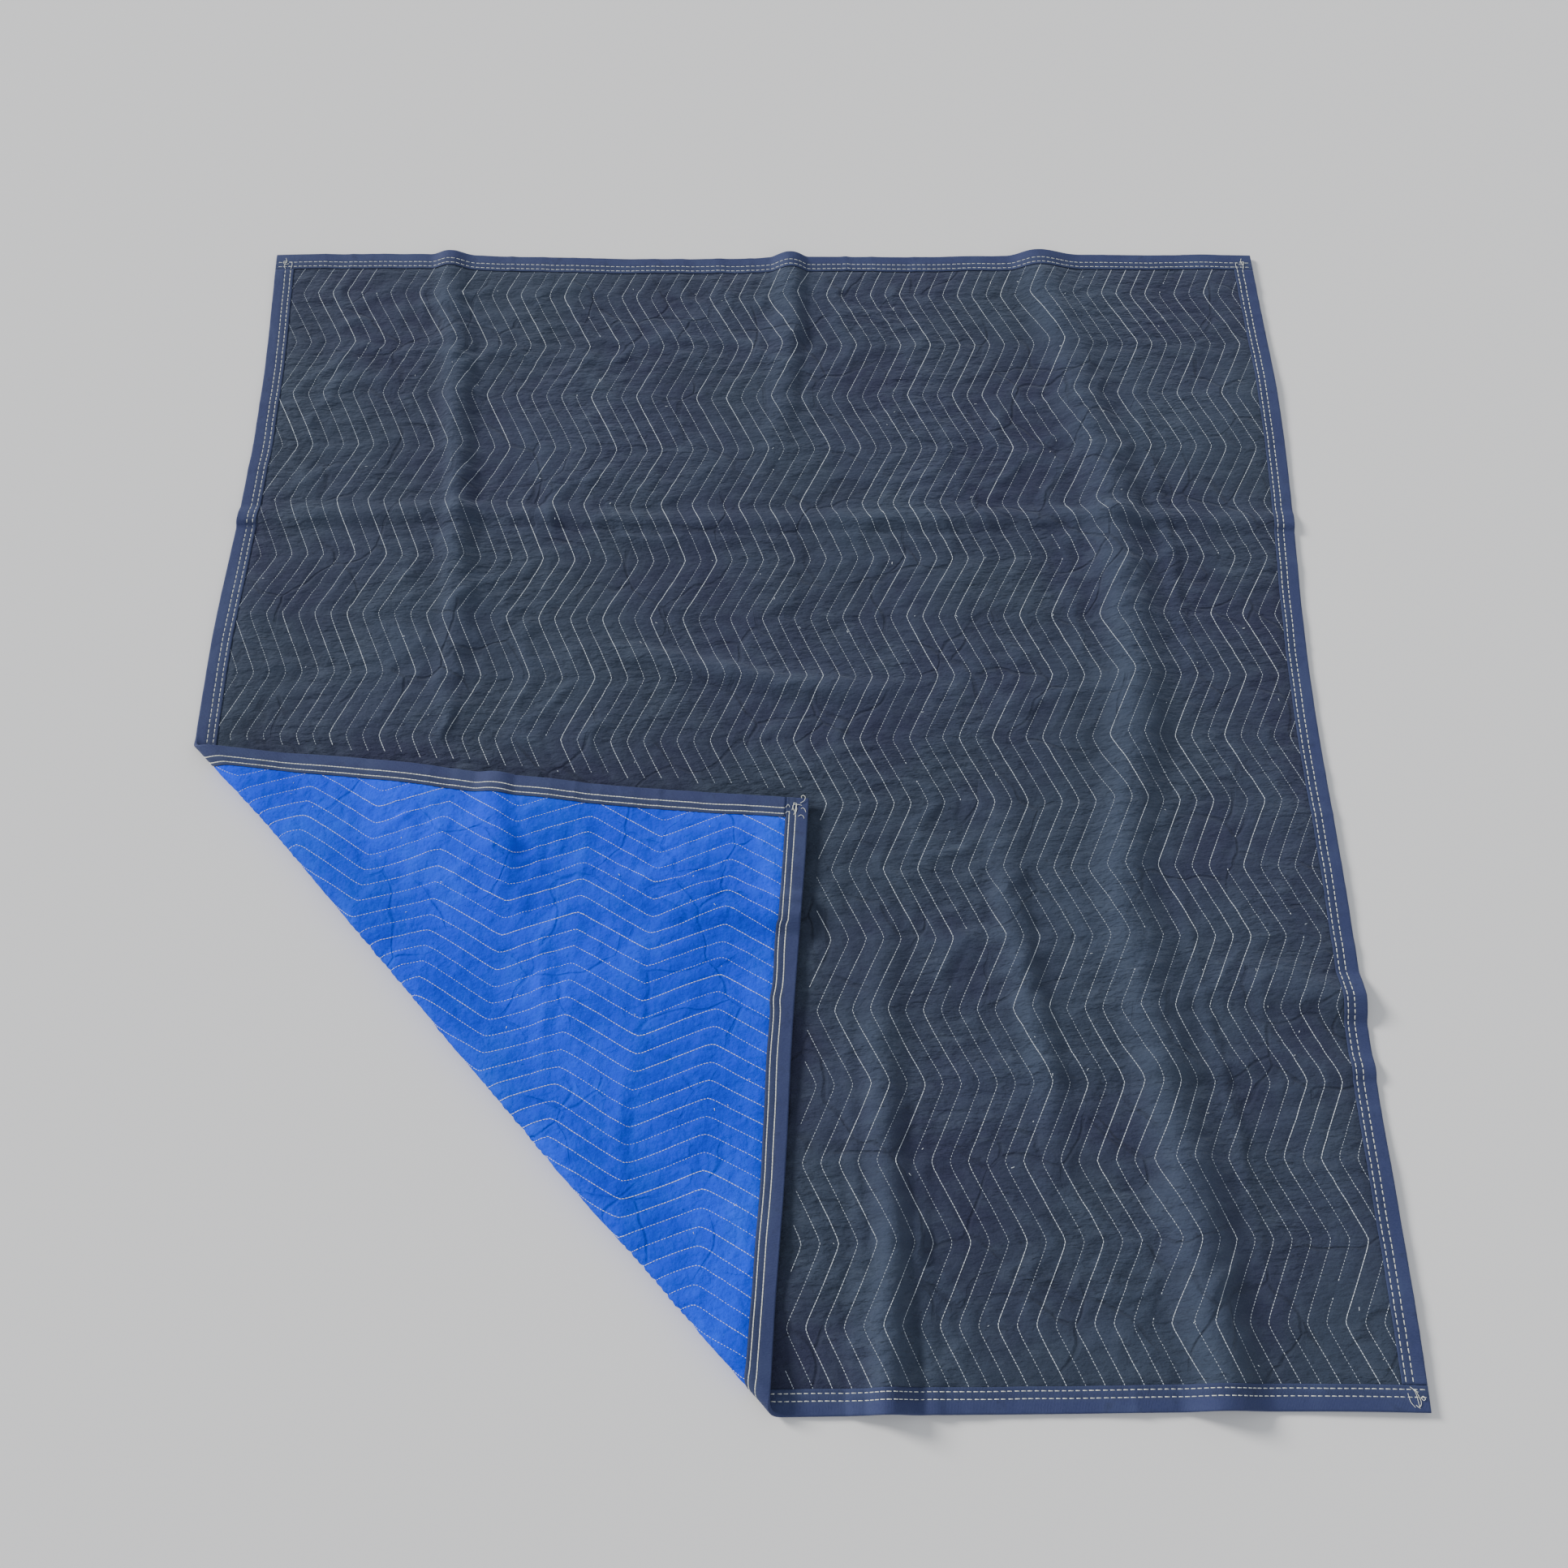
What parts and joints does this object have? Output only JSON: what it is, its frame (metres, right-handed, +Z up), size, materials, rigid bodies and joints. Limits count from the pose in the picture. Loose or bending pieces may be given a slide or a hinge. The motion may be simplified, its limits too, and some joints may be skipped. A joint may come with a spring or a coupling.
{
  "type": "quilted moving blanket laid out with one corner turned back",
  "caption": "Zigzag-quilted two-colour moving blanket with taped edges, laid out flat with one corner turned back.",
  "frame": {"origin": "on the floor, under the middle of the bounding box", "axes": "+Z up from the floor; +Y along the quilting lines, from the hem to the top; +X across them, away from the turned corner"},
  "size_m": [1.8512, 2.0446, 0.035],
  "materials": {
    "face_navy": "matte nonwoven felt, charcoal navy",
    "back_blue": "matte nonwoven felt, royal blue",
    "binding": "woven polyester tape, indigo, slight sheen"
  },
  "bodies": {
    "root": {"face_navy": "face_navy", "back_blue": "back_blue", "binding_bottom": "binding", "binding_top": "binding", "binding_left": "binding", "binding_right": "binding"}
  },
  "joints": []
}
